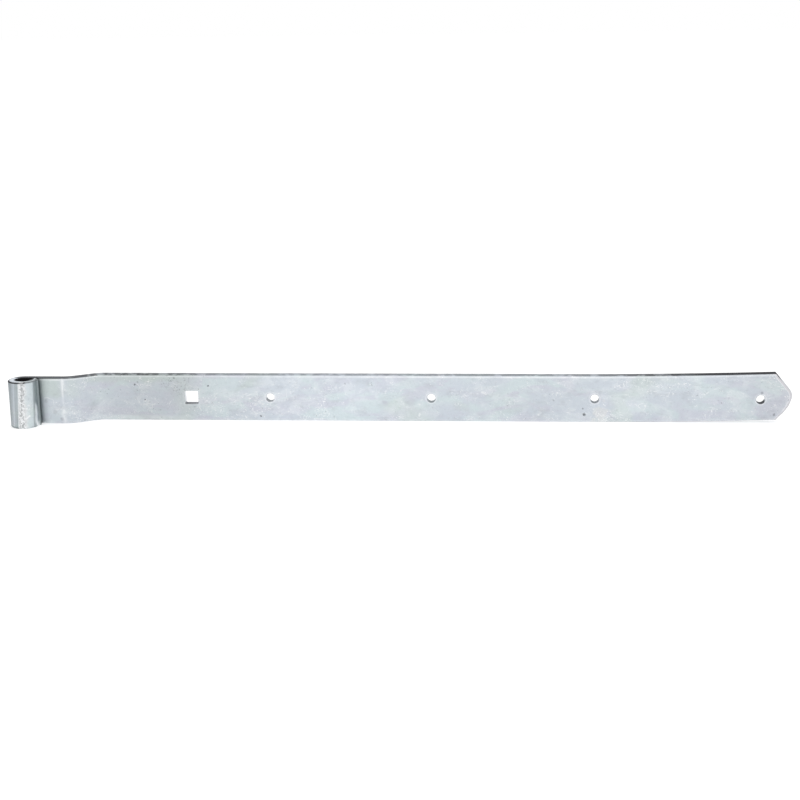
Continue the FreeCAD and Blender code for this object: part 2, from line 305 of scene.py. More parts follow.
def near_holes(place):
    front = STRAP_BACK - THICKNESS
    if front + FACE_DEPTH <= place.y <= STRAP_BACK - FACE_DEPTH:
        return False
    holes = [(SQUARE_HOLE_X, SQUARE_HOLE_REGION)] + [(x, SCREW_HOLE_REGION) for x in SCREW_HOLE_XS]
    return any(max(abs(place.x - x), abs(place.z)) < reach for x, reach in holes)


def refine(mesh, inside):
    """Halve the edges that lie inside a region."""
    edges = [edge for edge in mesh.edges if all(inside(vertex.co) for vertex in edge.verts)]
    bmesh.ops.subdivide_edges(mesh, edges=edges, cuts=1, use_grid_fill=True)


# The holes

LIP = 0.45 * MM
LIP_STEPS = 3
LIP_ANGLE = math.radians(70)
PAST_FACE = 2 * MM


def hole_levels():
    """Where the hole's wall runs through the bar and rounds over at both faces: (y, widening)."""
    front = STRAP_BACK - THICKNESS
    levels = [(front - PAST_FACE, LIP + PAST_FACE)]
    for step in range(LIP_STEPS + 1):
        angle = LIP_ANGLE * (1 - step / LIP_STEPS)
        levels.append((front + LIP * (1 - math.sin(angle)), LIP * (1 - math.cos(angle))))
    back = [(2 * STRAP_MIDDLE - y, widening) for y, widening in reversed(levels)]
    return levels + back


def cutter(name, outline):
    """A closed mesh through the strap. outline(widening) gives the loop's (x, z) points."""
    mesh = bmesh.new()
    loops = []
    for y, widening in hole_levels():
        loops.append([mesh.verts.new((x, y, z)) for x, z in outline(widening)])
    for first, second in zip(loops, loops[1:]):
        for index in range(len(first)):
            following = (index + 1) % len(first)
            mesh.faces.new((first[index], first[following], second[following], second[index]))
    mesh.faces.new(loops[0])
    mesh.faces.new(list(reversed(loops[-1])))
    bmesh.ops.recalc_face_normals(mesh, faces=mesh.faces)
    return new_object(name, mesh)


def round_outline(centre_x, radius, steps=40):
    def outline(widening):
        turns = [2 * math.pi * step / steps for step in range(steps)]
        return [
            (centre_x + (radius + widening) * math.cos(turn), (radius + widening) * math.sin(turn))
            for turn in turns
        ]
    return outline


def square_outline(centre_x, side, corner, steps=5):
    def outline(widening):
        inner = side / 2 - corner
        points = []
        for quarter in range(4):
            middle = math.pi / 4 + math.pi / 2 * quarter
            centre = (
                centre_x + math.copysign(inner, math.cos(middle)),
                math.copysign(inner, math.sin(middle)),
            )
            for step in range(steps + 1):
                turn = math.pi / 2 * (quarter + step / steps)
                reach = corner + widening
                points.append((centre[0] + reach * math.cos(turn), centre[1] + reach * math.sin(turn)))
        return points
    return outline


def new_object(name, mesh):
    data = bpy.data.meshes.new(name)
    mesh.to_mesh(data)
    mesh.free()
    thing = bpy.data.objects.new(name, data)
    bpy.context.scene.collection.objects.link(thing)
    return thing


def cut(thing, tool):
    """Cut the tool out of the thing, and remove the tool."""
    boolean = thing.modifiers.new("hole", "BOOLEAN")
    boolean.operation = "DIFFERENCE"
    boolean.solver = "EXACT"
    boolean.object = tool
    depsgraph = bpy.context.evaluated_depsgraph_get()
    result = bpy.data.meshes.new_from_object(thing.evaluated_get(depsgraph))
    thing.modifiers.clear()
    old = thing.data
    thing.data = result
    bpy.data.meshes.remove(old)
    bpy.data.objects.remove(tool)


def make_band():
    band = new_object("galvanised_band", bar_mesh())
    cut(band, cutter("square_cutter", square_outline(SQUARE_HOLE_X, SQUARE_HOLE, SQUARE_CORNER)))
    for x in SCREW_HOLE_XS:
        cut(band, cutter("round_cutter", round_outline(x, SCREW_HOLE_RADIUS)))
    band.data.name = "galvanised_band"
    for polygon in band.data.polygons:
        polygon.use_smooth = True
    return band


# The zinc's relief, and masks painted on the mesh's points, which the material reads.
# A pair of values named as a fade is where a mark begins and where it is full.

# Just in front of the flat beside the eye.
FLAT_FRONT = 6.95 * MM
# The roll lies between these, and there is nothing else left of its left end.
ROLL_LEFT_END = -8 * MM
ROLL_RIGHT_END = 18 * MM
HOLE_WALL_REACH = 0.3 * MM
CLEAR_OF_EDGE = 5 * MM


def bell(value, middle, width):
    """1 at the middle, falling smoothly to 0 about twice the width away."""
    return math.exp(-((value - middle) / width) ** 2)


def lumps(place, size, seed):
    """Smooth noise from -1 to 1 with lumps of about this size."""
    return noise.noise(place / size + Vector((seed, 0, 0)))


def tip_inset(place):
    """How far a point of the tip lies inside its cut edges, seen from the front."""
    base_x, base_z = swept(TIP_BASE, 0)
    along = (place.x - base_x) * math.cos(TIP_TILT) + (place.z - base_z) * math.sin(TIP_TILT)
    across = (place.z - base_z) * math.cos(TIP_TILT) - (place.x - base_x) * math.sin(TIP_TILT)
    from_centre = along - (TIP_DEPTH - NOSE_RADIUS)
    if from_centre > 0 and abs(math.atan2(across, from_centre)) < NOSE_ANGLE:
        return NOSE_RADIUS - math.hypot(from_centre, across)
    return (HALF_WIDTH - abs(across)) * math.cos(TIP_SLANT) - along * math.sin(TIP_SLANT)


def hole_gaps(place):
    """Distances from the square hole's wall and from the nearest round hole's, seen from the front."""
    square = max(abs(place.x - SQUARE_HOLE_X), abs(place.z)) - SQUARE_HOLE / 2
    rounds = [math.hypot(place.x - x, place.z) - SCREW_HOLE_RADIUS for x in SCREW_HOLE_XS]
    return square, min(rounds)


def top_height(place):
    """Height of the upper edge at this place, with the sweep of the tip end."""
    rise = max(0.0, place.x - CAMBER_START)
    return HALF_WIDTH + rise * rise / (2 * CAMBER_RADIUS)


class Spot:
    """A point of the band's surface, with what the painting needs to know about it."""

    def __init__(self, place, normal):
        self.place, self.normal = place.copy(), normal
        self.x, self.y, self.z = place
        self.height = self.z / HALF_WIDTH
        self.radius = math.hypot(self.x, self.y)
        self.in_roll = self.x < ROLL_RIGHT_END and self.y < FLAT_FRONT or self.x < ROLL_LEFT_END
        self.outside = self.radius > MID_RADIUS
        self.on_roll_front = self.in_roll and self.outside and self.y < 0
        self.below_top = top_height(place) - self.z
        self.above_bottom = 2 * HALF_WIDTH - self.below_top
        self.square_gap, self.round_gap = hole_gaps(place)
        at_hole = min(self.square_gap, self.round_gap) < HOLE_WALL_REACH
        self.on_hole_wall = at_hole and self.below_top > CLEAR_OF_EDGE
        self.on_front = not self.in_roll and normal.y < -0.5
        self.rough = 0.5 + 0.5 * lumps(place, 5 * MM, 2.2)


# The rough strip down the front of the eye, at mid height, and how far it leans and tapers above that.
STRIP_LEFT = -1.7 * MM
STRIP_RIGHT = 6.6 * MM
STRIP_LEAN = 1.4 * MM
STRIP_TAPER = 1.2 * MM
STRIP_RAGGEDNESS = 1.7 * MM
STRIP_LUMPS = 0.26 * MM
PITTED_MIDDLE = 2.3 * MM
PITTED_WANDER = 1.4 * MM
PITTED_WIDTH = 2.5 * MM


def strip_across(spot):
    """Place across the eye's rough strip, which leans a little."""
    return spot.x - STRIP_LEAN * spot.height


def rough_strip(spot):
    """The white strip of lumpy zinc down the front of the eye: a sharp left edge and a ragged right one."""
    if not spot.on_roll_front:
        return 0.0
    across = strip_across(spot)
    ragged = STRIP_RAGGEDNESS * lumps(spot.place, 5 * MM, 5.5)
    right = STRIP_RIGHT - STRIP_TAPER * spot.height
    left_side = smooth(STRIP_LEFT - 0.4 * MM, STRIP_LEFT + 0.4 * MM, across + 0.2 * ragged)
    return left_side * smooth(right + 1.6 * MM, right - 2.4 * MM, across + ragged)


def pitted(spot):
    """Where the strip's lumps leave dark pits between them."""
    across = strip_across(spot)
    middle = PITTED_MIDDLE + PITTED_WANDER * lumps(spot.place, 9 * MM, 1.2)
    down_strip = rough_strip(spot) * (0.32 + 0.62 * bell(across, middle, PITTED_WIDTH))
    return max(down_strip, eye_foot(spot))


# The eye's lower rim: its fade as shares of the half width, and its marks to the right as (x, strength).
FOOT_RIM_FADE = (-0.89, -0.97)
FOOT_LEFT_FADE = (-1 * MM, -5 * MM)
FOOT_MARKS = ((3.9 * MM, 0.9), (11.5 * MM, 0.55))
FOOT_MARK_WIDTH = 2.2 * MM
FOOT_SMUDGE = Vector((3.0 * MM, -19.8 * MM))
FOOT_SMUDGE_WIDTH = 1.5 * MM


def eye_foot(spot):
    """Dark ragged marks along the eye's lower rim, with a clean gap in them, and a smudge above."""
    if not spot.on_roll_front:
        return 0.0
    rim = smooth(*FOOT_RIM_FADE, spot.height)
    left = 0.95 * smooth(*FOOT_LEFT_FADE, spot.x)
    right = sum(strength * bell(spot.x, x, FOOT_MARK_WIDTH) for x, strength in FOOT_MARKS)
    from_smudge = (Vector((spot.x, spot.z)) - FOOT_SMUDGE).length
    smudge = 0.9 * bell(from_smudge, 0, FOOT_SMUDGE_WIDTH)
    return max(rim * (left + right), smudge)


# Where along the strap the upper edge's painted shade line gets heavier, and where it has no dashes.
HEAVY_TO_EYE_FADE = (215 * MM, 95 * MM)
HEAVY_TO_TIP_FADE = (560 * MM, 715 * MM)
UNBROKEN_TO_EYE_FADE = (62 * MM, 42 * MM)
UNBROKEN_TO_TIP_FADE = (640 * MM, 720 * MM)
LINE_END_FADE = (TIP_BASE + 6.5 * MM, TIP_BASE + 0.5 * MM)


def painted_edge_shade(spot):
    """Painted shade on faces that turn up: the dark line of the upper edge, dashed beside the crank, thin
    in the middle, heavy near the tip.
    """
    if spot.in_roll:
        return rim_shade(spot)
    near_eye = smooth(*HEAVY_TO_EYE_FADE, spot.x)
    near_tip_end = smooth(*HEAVY_TO_TIP_FADE, spot.x)
    dashes = smooth(-0.45, 0.15, lumps(spot.place, 7 * MM, 3.1) + 0.5 * lumps(spot.place, 2.5 * MM, 8.4))
    unbroken = max(smooth(*UNBROKEN_TO_TIP_FADE, spot.x), smooth(*UNBROKEN_TO_EYE_FADE, spot.x))
    solid_share = 0.55 - 0.15 * near_eye
    line = 0.52 + 0.34 * near_eye + 0.48 * near_tip_end
    line *= solid_share + (1 - solid_share) * max(dashes, unbroken)
    edge_shading = smooth(0.20 - 0.08 * near_eye, 0.50 - 0.10 * near_eye, spot.normal.z) * line
    if spot.x > TIP_BASE:
        edge_shading *= smooth(*LINE_END_FADE, spot.x)
    if spot.on_hole_wall and spot.round_gap < spot.square_gap:
        edge_shading *= 0.85
    return edge_shading


# The rim of the eye's top, with painted shade: the dark line's radius, its back, where the line fades, and
# the notch in it.
RIM_LINE_FADE = (EYE_RADIUS - 1.8 * MM, EYE_RADIUS - 1.0 * MM)
RIM_BACK_FADE = (6.0 * MM, 9.0 * MM)
RIM_FULL_FADE = (3 * MM, -1 * MM)
NOTCH_X = 5.6 * MM
NOTCH_WIDTH = 1.3 * MM
NOTCH_FADE = (EYE_RADIUS - 2.8 * MM, EYE_RADIUS - 1.2 * MM)


def rim_shade(spot):
    """Painted shade round the top of the eye: thin dark lines that fade at the right, a darker back, and
    the notch in the rim.
    """
    outer = smooth(*RIM_LINE_FADE, spot.radius) * smooth(0.05, 0.38, spot.normal.z)
    back = smooth(*RIM_BACK_FADE, spot.y) * smooth(0.5, 0.8, spot.normal.z)
    weight = 0.55 + 0.45 * smooth(*RIM_FULL_FADE, spot.x) + 0.22 * lumps(spot.place, 3 * MM, 2.6)
    notch = 0.0
    if spot.y < 0:
        notch = bell(spot.x, NOTCH_X, NOTCH_WIDTH) * smooth(0.02, 0.3, spot.normal.z)
        notch *= smooth(*NOTCH_FADE, spot.radius)
    return max(weight * outer, back, 1.15 * notch)


# The bore's middle as its shadow falls, how far its wall reaches, and the round shadow on the toe's top.
BORE_MIDDLE = Vector((2 * MM, 4 * MM, 0))
BORE_WALL_REACH = 17 * MM
BORE_RIGHT_END = 15.2 * MM
TOE_SHADOW_MIDDLE = Vector((1.5 * MM, 1 * MM))
TOE_SHADOW_RADIUS = 10.4 * MM
TOE_SHADOW_FADE = (-1 * MM, 3 * MM)


def painted_bore_shadow(spot):
    """Painted shadow: the inside of the eye, as dark as it looks from outside, and the inner half of the
    toe's top.
    """
    if spot.radius > BORE_WALL_REACH or not -EYE_RADIUS < spot.x < BORE_RIGHT_END:
        return 0.0
    to_middle = BORE_MIDDLE - Vector((spot.x, spot.y, 0))
    inside = smooth(0.02, 0.22, to_middle.normalized().dot(spot.normal))
    if spot.z > 0 and spot.in_roll and spot.normal.z > 0.2:
        reach = (spot.place.to_2d() - TOE_SHADOW_MIDDLE).length + 0.4 * MM * lumps(spot.place, 3 * MM, 4.9)
        toe_top = smooth(TOE_SHADOW_RADIUS + 0.5 * MM, TOE_SHADOW_RADIUS - 0.7 * MM, reach)
        inside = max(inside, 0.95 * toe_top * smooth(*TOE_SHADOW_FADE, spot.x))
    return inside


# A painted highlight: the pale strip low on the roll's right side. And a scratch from (x, z) to (x, z) on
# its front.
GLINT_X = 14.0 * MM
GLINT_SWING = 0.9 * MM
GLINT_WIDTH = 0.45 * MM
GLINT_WIDENING = 0.35 * MM
SCRATCH_LOW = Vector((-0.2 * MM, -18.6 * MM))
SCRATCH_HIGH = Vector((8.8 * MM, -11.3 * MM))
SCRATCH_WIDTH = 0.75 * MM


def side_glint(spot):
    """A painted highlight: the pale strip low on the right side of the roll."""
    if not spot.on_roll_front:
        return 0.0
    wander = 0.3 * MM * lumps(spot.place, 6 * MM, 3.3)
    middle = GLINT_X + GLINT_SWING * smooth(-0.75, -1.0, spot.height) + wander
    width = GLINT_WIDTH + GLINT_WIDENING * smooth(0, -0.5, spot.height)
    return bell(spot.x, middle, width) * smooth(0.12, -0.12, spot.height)


def scratch(spot):
    """One pale scratch that rises to the right across the lower front of the eye."""
    if not spot.on_roll_front:
        return 0.0
    along = SCRATCH_HIGH - SCRATCH_LOW
    here = Vector((spot.x, spot.z)) - SCRATCH_LOW
    share = min(1.0, max(0.0, here.dot(along) / along.length_squared))
    return bell((here - share * along).length, 0, SCRATCH_WIDTH)


# The roll's painted shade. The facet is its darker right side. Places on its left side are from the strip's
# edge.
TOP_GRIME_FADE = (-4 * MM, 6 * MM)
SHADED_FRONT = 3 * MM
FACET_START = 12.4 * MM
FACET_LEAN = 0.8 * MM
FACET_DEPTH = 3.8 * MM
LEFT_SIDE_FADE = (0.2 * MM, -1.0 * MM)
LEFT_STRIPE = -5.2 * MM
LEFT_STRIPE_WIDTH = 0.9 * MM
FAR_SIDE_FADE = (-7.5 * MM, -9.5 * MM)
DARK_LINE = -1.1 * MM
DARK_LINE_WIDTH = 0.55 * MM
DARK_FOOT_FADE = (-0.87, -0.97)
DARK_FOOT_END_FADE = (0, -4 * MM)
# Painted shade in the crease where the toe meets the flat.
CREASE_FADE = (17.4 * MM, 15.4 * MM)
CREASE_SOFT_FADE = (26 * MM, 17 * MM)


def roll_shade(spot):
    """Painted shade on the roll's sides: grey with a paler stripe at the left, a darker facet at the right,
    a darker foot, and a dark line beside the strip.
    """
    from_facet = spot.x - FACET_LEAN * spot.height - FACET_START
    facet = smooth(-0.3 * MM, 0.4 * MM, from_facet) * (0.50 + 0.34 * smooth(0, FACET_DEPTH, from_facet))
    edge = strip_across(spot) - STRIP_LEFT
    stripe = bell(edge, LEFT_STRIPE, LEFT_STRIPE_WIDTH)
    far_side = 0.25 * smooth(*FAR_SIDE_FADE, edge)
    left = smooth(*LEFT_SIDE_FADE, edge) * (0.47 - 0.26 * stripe + far_side)
    dark_line = 0.62 * bell(edge, DARK_LINE, DARK_LINE_WIDTH)
    foot = 0.45 * smooth(*DARK_FOOT_FADE, spot.height) * smooth(*DARK_FOOT_END_FADE, spot.x)
    return max(facet * (1 - side_glint(spot)), left + foot * (1 - left), dark_line)


def shade(spot):
    """Painted shade on the roll's sides and in the crease where the toe meets the flat, and grime on the
    roll's top.
    """
    if spot.in_roll and spot.normal.z > 0.6:
        return 0.38 * smooth(*TOP_GRIME_FADE, spot.x) * spot.rough
    if spot.in_roll and spot.y < SHADED_FRONT and spot.outside:
        return roll_shade(spot)
    if abs(spot.y - FLAT_FRONT) < 0.5 * MM and not spot.in_roll:
        return 0.50 * smooth(*CREASE_FADE, spot.x) + 0.30 * smooth(*CREASE_SOFT_FADE, spot.x)
    return 0.0


# Zinc that has gathered along the edges and round the holes, and a painted highlight at the bend, which the
# relief also raises.
RIDGE_BELOW_TOP = 2.2 * MM
RIDGE_WIDTH = 0.75 * MM
RIDGE_HEIGHT = 0.14 * MM
FRINGE_ABOVE_BOTTOM = 1.0 * MM
FRINGE_WIDTH = 0.9 * MM
RING_GAP = 1.0 * MM
RING_WIDTH = 0.6 * MM
BEND_MARK_X = 39.8 * MM
BEND_MARK_LEAN = 0.8 * MM
BEND_MARK_WANDER = 0.9 * MM
BEND_MARK_STEP_FADE = (2 * MM, -4 * MM)
BEND_MARK_TOP_FADE = (15 * MM, 21 * MM)
BEND_MARK_FOOT_FADE = (-7 * MM, -14 * MM)
BEND_MARK_STRONG_FADE = (0, 12 * MM)


def edge_ridge(spot):
    """A low ridge of zinc just beneath the upper edge, and a fringe along the lower one."""
    ridge = bell(spot.below_top, RIDGE_BELOW_TOP, RIDGE_WIDTH) * (0.35 + 0.75 * spot.rough)
    fringe = bell(spot.above_bottom, FRINGE_ABOVE_BOTTOM, FRINGE_WIDTH) * (0.25 + 0.75 * spot.rough)
    return ridge, fringe


def hole_ring(spot):
    """A low ring of zinc round each hole, fainter round the square one."""
    square = 0.35 * bell(spot.square_gap, RING_GAP, RING_WIDTH)
    return max(square, bell(spot.round_gap, RING_GAP, RING_WIDTH)) * (0.5 + 0.5 * spot.rough)


def bend_highlight(spot):
    """A painted highlight along the whitish line where the crank starts, which the relief also raises a
    little: widest at the top, faint in the middle, ragged below.
    """
    wander = BEND_MARK_WANDER * lumps(spot.place, 8 * MM, 7.7)
    wander -= BEND_MARK_WANDER * smooth(*BEND_MARK_STEP_FADE, spot.z)
    top_patch = smooth(*BEND_MARK_TOP_FADE, spot.z)
    foot_patch = smooth(*BEND_MARK_FOOT_FADE, spot.z)
    from_mark = spot.x - BEND_MARK_X - BEND_MARK_LEAN * spot.height + wander
    line = bell(from_mark + 0.6 * MM * top_patch, 0, (0.85 + top_patch + 1.5 * foot_patch) * MM)
    strength = 0.30 + 0.42 * smooth(*BEND_MARK_STRONG_FADE, spot.z) + 0.3 * foot_patch
    return line * (strength + (0.5 + 0.5 * foot_patch) * (spot.rough - 0.5))


# The band along the tip's cut edges, and the thick run of zinc on the lower one.
TIP_BAND = 2.8 * MM
TIP_BAND_DEPTH = 0.12 * MM
TIP_BAND_WANDER = 0.8 * MM
TIP_RIDGE_WIDTH = 0.42 * MM
TIP_RUN_Z = -10.5 * MM
TIP_RUN_LENGTH = 7 * MM
TIP_RUN = 1.7 * MM
TIP_RUN_WAY = Vector((math.sin(TIP_SLANT), 0, -math.cos(TIP_SLANT)))
TIP_RUN_START_FADE = (0, -4 * MM)
TIP_RUN_INSET_FADE = (7 * MM, 1 * MM)


def tip_edge(spot):
    """The tip's bevelled band and the thin white ridge along its inner side."""
    if spot.x < TIP_REGION:
        return 0.0, 0.0
    inset = tip_inset(spot.place)
    if spot.z > 0:
        width = TIP_BAND
    else:
        width = 0.75 * TIP_BAND + TIP_BAND_WANDER * lumps(spot.place, 4 * MM, 6.1)
    band = smooth(width, width - 0.5 * MM, inset)
    ridge = bell(inset, width, TIP_RIDGE_WIDTH) * (0.2 + 0.7 * spot.rough)
    return band, ridge


# Where along the strap the upper ridge is whiter or fainter, and the pale band low on it past the crank.
RIDGE_WHITER_FADE = (260 * MM, 420 * MM)
RIDGE_FAINTER_FADE = (600 * MM, 690 * MM)
RIDGE_AT_BEND_X = BEND_MARK_X - 3 * MM
RIDGE_AT_BEND_WIDTH = 9 * MM
LOW_BAND_START_FADE = (45 * MM, 75 * MM)
LOW_BAND_END_FADE = (190 * MM, 150 * MM)
LOW_BAND_HEIGHT_FADE = (7.5 * MM, 3 * MM)


def pale_zinc_and_highlights(spot):
    """White marks: zinc ridges along the edges and rings round the holes, a painted highlight at the bend,
    painted light on the holes' walls, and off the front the roll's painted highlight and its scratch.
    """
    # Painted light on the holes' walls, where they don't face up.
    if spot.on_hole_wall:
        return 0.85 * smooth(0.3, -0.1, spot.normal.z) * smooth(0.75, 0.4, -spot.normal.y)
    if not spot.on_front:
        return max(0.75 * side_glint(spot), scratch(spot))
    ridge, fringe = edge_ridge(spot)
    strength = 0.50 + 0.4 * smooth(*RIDGE_WHITER_FADE, spot.x) - 0.35 * smooth(*RIDGE_FAINTER_FADE, spot.x)
    ridge *= strength + 0.5 * bell(spot.x, RIDGE_AT_BEND_X, RIDGE_AT_BEND_WIDTH)
    past_crank = smooth(*LOW_BAND_START_FADE, spot.x) * smooth(*LOW_BAND_END_FADE, spot.x)
    low_band = 0.30 * smooth(*LOW_BAND_HEIGHT_FADE, spot.above_bottom) * past_crank
    low_band *= 0.4 + 0.6 * spot.rough
    white_ridge = tip_edge(spot)[1]
    return max(ridge, 0.5 * fringe, 0.55 * hole_ring(spot), bend_highlight(spot), 0.75 * white_ridge, low_band)


def warm_zinc(spot):
    """The tip's band is a little warmer and darker than the face."""
    return tip_edge(spot)[0] if spot.on_front else 0.0


# Where the zinc is greener.
GREEN_ROLL_FADE = (-7 * MM, 0)
GREEN_WANDER = 4 * MM
GREEN_FLAT_HEIGHT_FADE = (-2 * MM, 7 * MM)
GREEN_FLAT_END_FADE = (CRANK_START + 3 * MM, CRANK_START - 8 * MM)
GREEN_TOP_FADE = (12 * MM, 5 * MM)
GREEN_TOP_START_FADE = (52 * MM, 72 * MM)
GREEN_TOP_END_FADE = (190 * MM, 160 * MM)
GREEN_COLUMN_X = SQUARE_HOLE_X - 7 * MM
GREEN_COLUMN_WIDTH = 11 * MM
GREEN_BEND_X = 50 * MM
GREEN_BEND_WIDTH = 8 * MM
GREEN_BEND_HEIGHT_FADE = (-2 * MM, 8 * MM)


def greenish(spot):
    """Greener zinc: on the eye, high on the flat, along the top past the crank, beside the square hole."""
    if spot.in_roll:
        return 0.5 * smooth(*GREEN_ROLL_FADE, spot.x)
    if not spot.on_front:
        return 0.0
    wander = GREEN_WANDER * lumps(spot.place, 16 * MM, 6.6)
    flat = smooth(*GREEN_FLAT_HEIGHT_FADE, spot.z + wander) * smooth(*GREEN_FLAT_END_FADE, spot.x)
    top = smooth(*GREEN_TOP_FADE, spot.below_top + wander)
    top *= smooth(*GREEN_TOP_START_FADE, spot.x) * smooth(*GREEN_TOP_END_FADE, spot.x)
    column = 0.7 * bell(spot.x + wander, GREEN_COLUMN_X, GREEN_COLUMN_WIDTH)
    past_bend = 0.6 * bell(spot.x, GREEN_BEND_X, GREEN_BEND_WIDTH) * smooth(*GREEN_BEND_HEIGHT_FADE, spot.z)
    return max(flat, 0.85 * top, column, past_bend)


# How dark the zinc is along the strap: its usual level, and soft patches as (x, width, how much darker).
WEATHERED_ROLL = 0.1
WEATHERED_STRAP = 0.38
WEATHERED_PATCHES = (
    (122 * MM, 62 * MM, 0.62),
    (345 * MM, 95 * MM, -0.30),
    (805 * MM, 50 * MM, 0.42),
)


def weathered(spot):
    """How much darker the zinc is along the strap: most beside the eye's crank, least before the middle."""
    if spot.in_roll:
        return WEATHERED_ROLL
    along = WEATHERED_STRAP
    for x, width, darker in WEATHERED_PATCHES:
        along += darker * bell(spot.x, x, width)
    return along + 0.16 * lumps(spot.place, 45 * MM, 1.9)


MASKS = {
    "painted_edge_shade": painted_edge_shade,
    "painted_bore_shadow": painted_bore_shadow,
    "rough_strip": rough_strip,
    "pitted": pitted,
    "shade": shade,
    "pale_zinc_and_highlights": pale_zinc_and_highlights,
    "warm_zinc": warm_zinc,
    "greenish": greenish,
    "weathered": weathered,
}

WAVINESS = 0.05 * MM


def relief(spot):
    """How far the zinc stands out at a spot."""
    rise = WAVINESS * lumps(spot.place, 14 * MM, 0.7)
    if spot.on_front:
        ridge, fringe = edge_ridge(spot)
        rise += RIDGE_HEIGHT * (ridge + 0.6 * fringe + 0.6 * hole_ring(spot) + 0.5 * bend_highlight(spot))
        band, white_ridge = tip_edge(spot)
        bevel = TIP_BAND_DEPTH * band * smooth(TIP_BAND, 0, tip_inset(spot.place))
        rise += RIDGE_HEIGHT * white_ridge - bevel
    if spot.normal.z < 0.5:
        grain = lumps(spot.place, 2.3 * MM, 4.4) + 0.6 * lumps(spot.place, 1.3 * MM, 9.3)
        rise += rough_strip(spot) * STRIP_LUMPS * (0.35 + grain)
    return rise


def tip_run(spot):
    """How a thick run of zinc bows the tip's lower cut edge outward."""
    if spot.x < TIP_BASE:
        return Vector()
    share = bell(spot.z, TIP_RUN_Z, TIP_RUN_LENGTH) * smooth(*TIP_RUN_START_FADE, spot.z)
    share *= smooth(*TIP_RUN_INSET_FADE, tip_inset(spot.place))
    return TIP_RUN_WAY * TIP_RUN * share * (0.95 + 0.3 * lumps(spot.place, 3.5 * MM, 5.2))


def lay_zinc(band):
    """Paint the masks on the mesh's points, and raise the zinc's relief."""
    data = band.data
    for name in MASKS:
        data.attributes.new(name, "FLOAT", "POINT")
    layers = {name: data.attributes[name].data for name in MASKS}
    normals = [normal.vector.copy() for normal in data.vertex_normals]
    for vertex in data.vertices:
        spot = Spot(vertex.co, normals[vertex.index])
        for name, mask in MASKS.items():
            layers[name][vertex.index].value = min(1.0, max(0.0, mask(spot)))
        vertex.co += spot.normal * relief(spot) + tip_run(spot)


# Materials

class Nodes:
    """A small helper that adds shader nodes and links them."""

    def __init__(self, name):
        self.material = bpy.data.materials.new(name)
        self.material.use_nodes = True
        self.tree = self.material.node_tree
        self.tree.nodes.clear()

    def add(self, kind, **settings):
        node = self.tree.nodes.new(kind)
        for key, value in settings.items():
            setattr(node, key, value)
        return node

    def link(self, output, node, socket):
        self.tree.links.new(output, node.inputs[socket])

    def value(self, node, socket, amount):
        node.inputs[socket].default_value = amount

    def fill(self, node, sources):
        """Set or link each socket, by its number."""
        for socket, source in sources.items():
            if isinstance(source, (int, float, tuple)):
                self.value(node, socket, source)
            else:
                self.link(source, node, socket)

    def noise(self, vector, scale, detail=2.0, roughness=0.5, distortion=0.0):
        node = self.add("ShaderNodeTexNoise")
        self.link(vector, node, "Vector")
        self.value(node, "Scale", scale)
        self.value(node, "Detail", detail)
        self.value(node, "Roughness", roughness)
        self.value(node, "Distortion", distortion)
        return node.outputs["Fac"]

    def ramp(self, factor, low, high):
        """Stretch the values between low and high to 0 to 1."""
        node = self.add("ShaderNodeMapRange", interpolation_type="SMOOTHSTEP")
        self.link(factor, node, "Value")
        self.value(node, "From Min", low)
        self.value(node, "From Max", high)
        return node.outputs["Result"]

    def math(self, operation, first, second):
        node = self.add("ShaderNodeMath", operation=operation)
        self.fill(node, {0: first, 1: second})
        return node.outputs["Value"]

    def times(self, first, second):
        return self.math("MULTIPLY", first, second)

    def plus(self, first, second):
        return self.math("ADD", first, second)

    def mix(self, factor, first, second, blend="MIX"):
        node = self.add("ShaderNodeMix", data_type="RGBA", blend_type=blend)
        self.fill(node, {0: factor, 6: first, 7: second})
        return node.outputs[2]

    def scaled(self, vector, scale, turn=(0.0, 0.0, 0.0)):
        node = self.add("ShaderNodeMapping")
        self.link(vector, node, "Vector")
        self.value(node, "Scale", scale)
        self.value(node, "Rotation", turn)
        return node.outputs["Vector"]

    def attribute(self, name):
        return self.add("ShaderNodeAttribute", attribute_name=name).outputs["Fac"]

    def finish(self, shader):
        output = self.add("ShaderNodeOutputMaterial")
        self.link(shader, output, "Surface")
        return self.material


BLUE_ZINC = (0.605, 0.655, 0.715, 1)
CYAN_ZINC = (0.63, 0.71, 0.735, 1)
GREEN_ZINC = (0.59, 0.665, 0.65, 1)
LILAC_ZINC = (0.605, 0.625, 0.70, 1)
PALE_ZINC = (0.80, 0.84, 0.87, 1)
# Also the colour of the painted highlights.
WHITE_ZINC_AND_HIGHLIGHT = (0.93, 0.94, 0.95, 1)
WARM_ZINC = (0.60, 0.585, 0.61, 1)
STAIN = (0.72, 0.73, 0.72, 1)
WEATHERED = (0.79, 0.785, 0.775, 1)
GREY_ZINC = (0.40, 0.43, 0.46, 1)
# Painted shade on the roll and in the crease, and grime on the roll's top.
SHADE_ZINC = (0.165, 0.195, 0.20, 1)
STRIP_PIT = (0.20, 0.215, 0.22, 1)
PIT = (0.10, 0.11, 0.12, 1)
# Painted shade on the upper edges and other faces that turn up.
EDGE_SHADE = (0.045, 0.045, 0.05, 1)
# Painted shadow in the bore.
BORE_SHADOW = (0.006, 0.006, 0.007, 1)


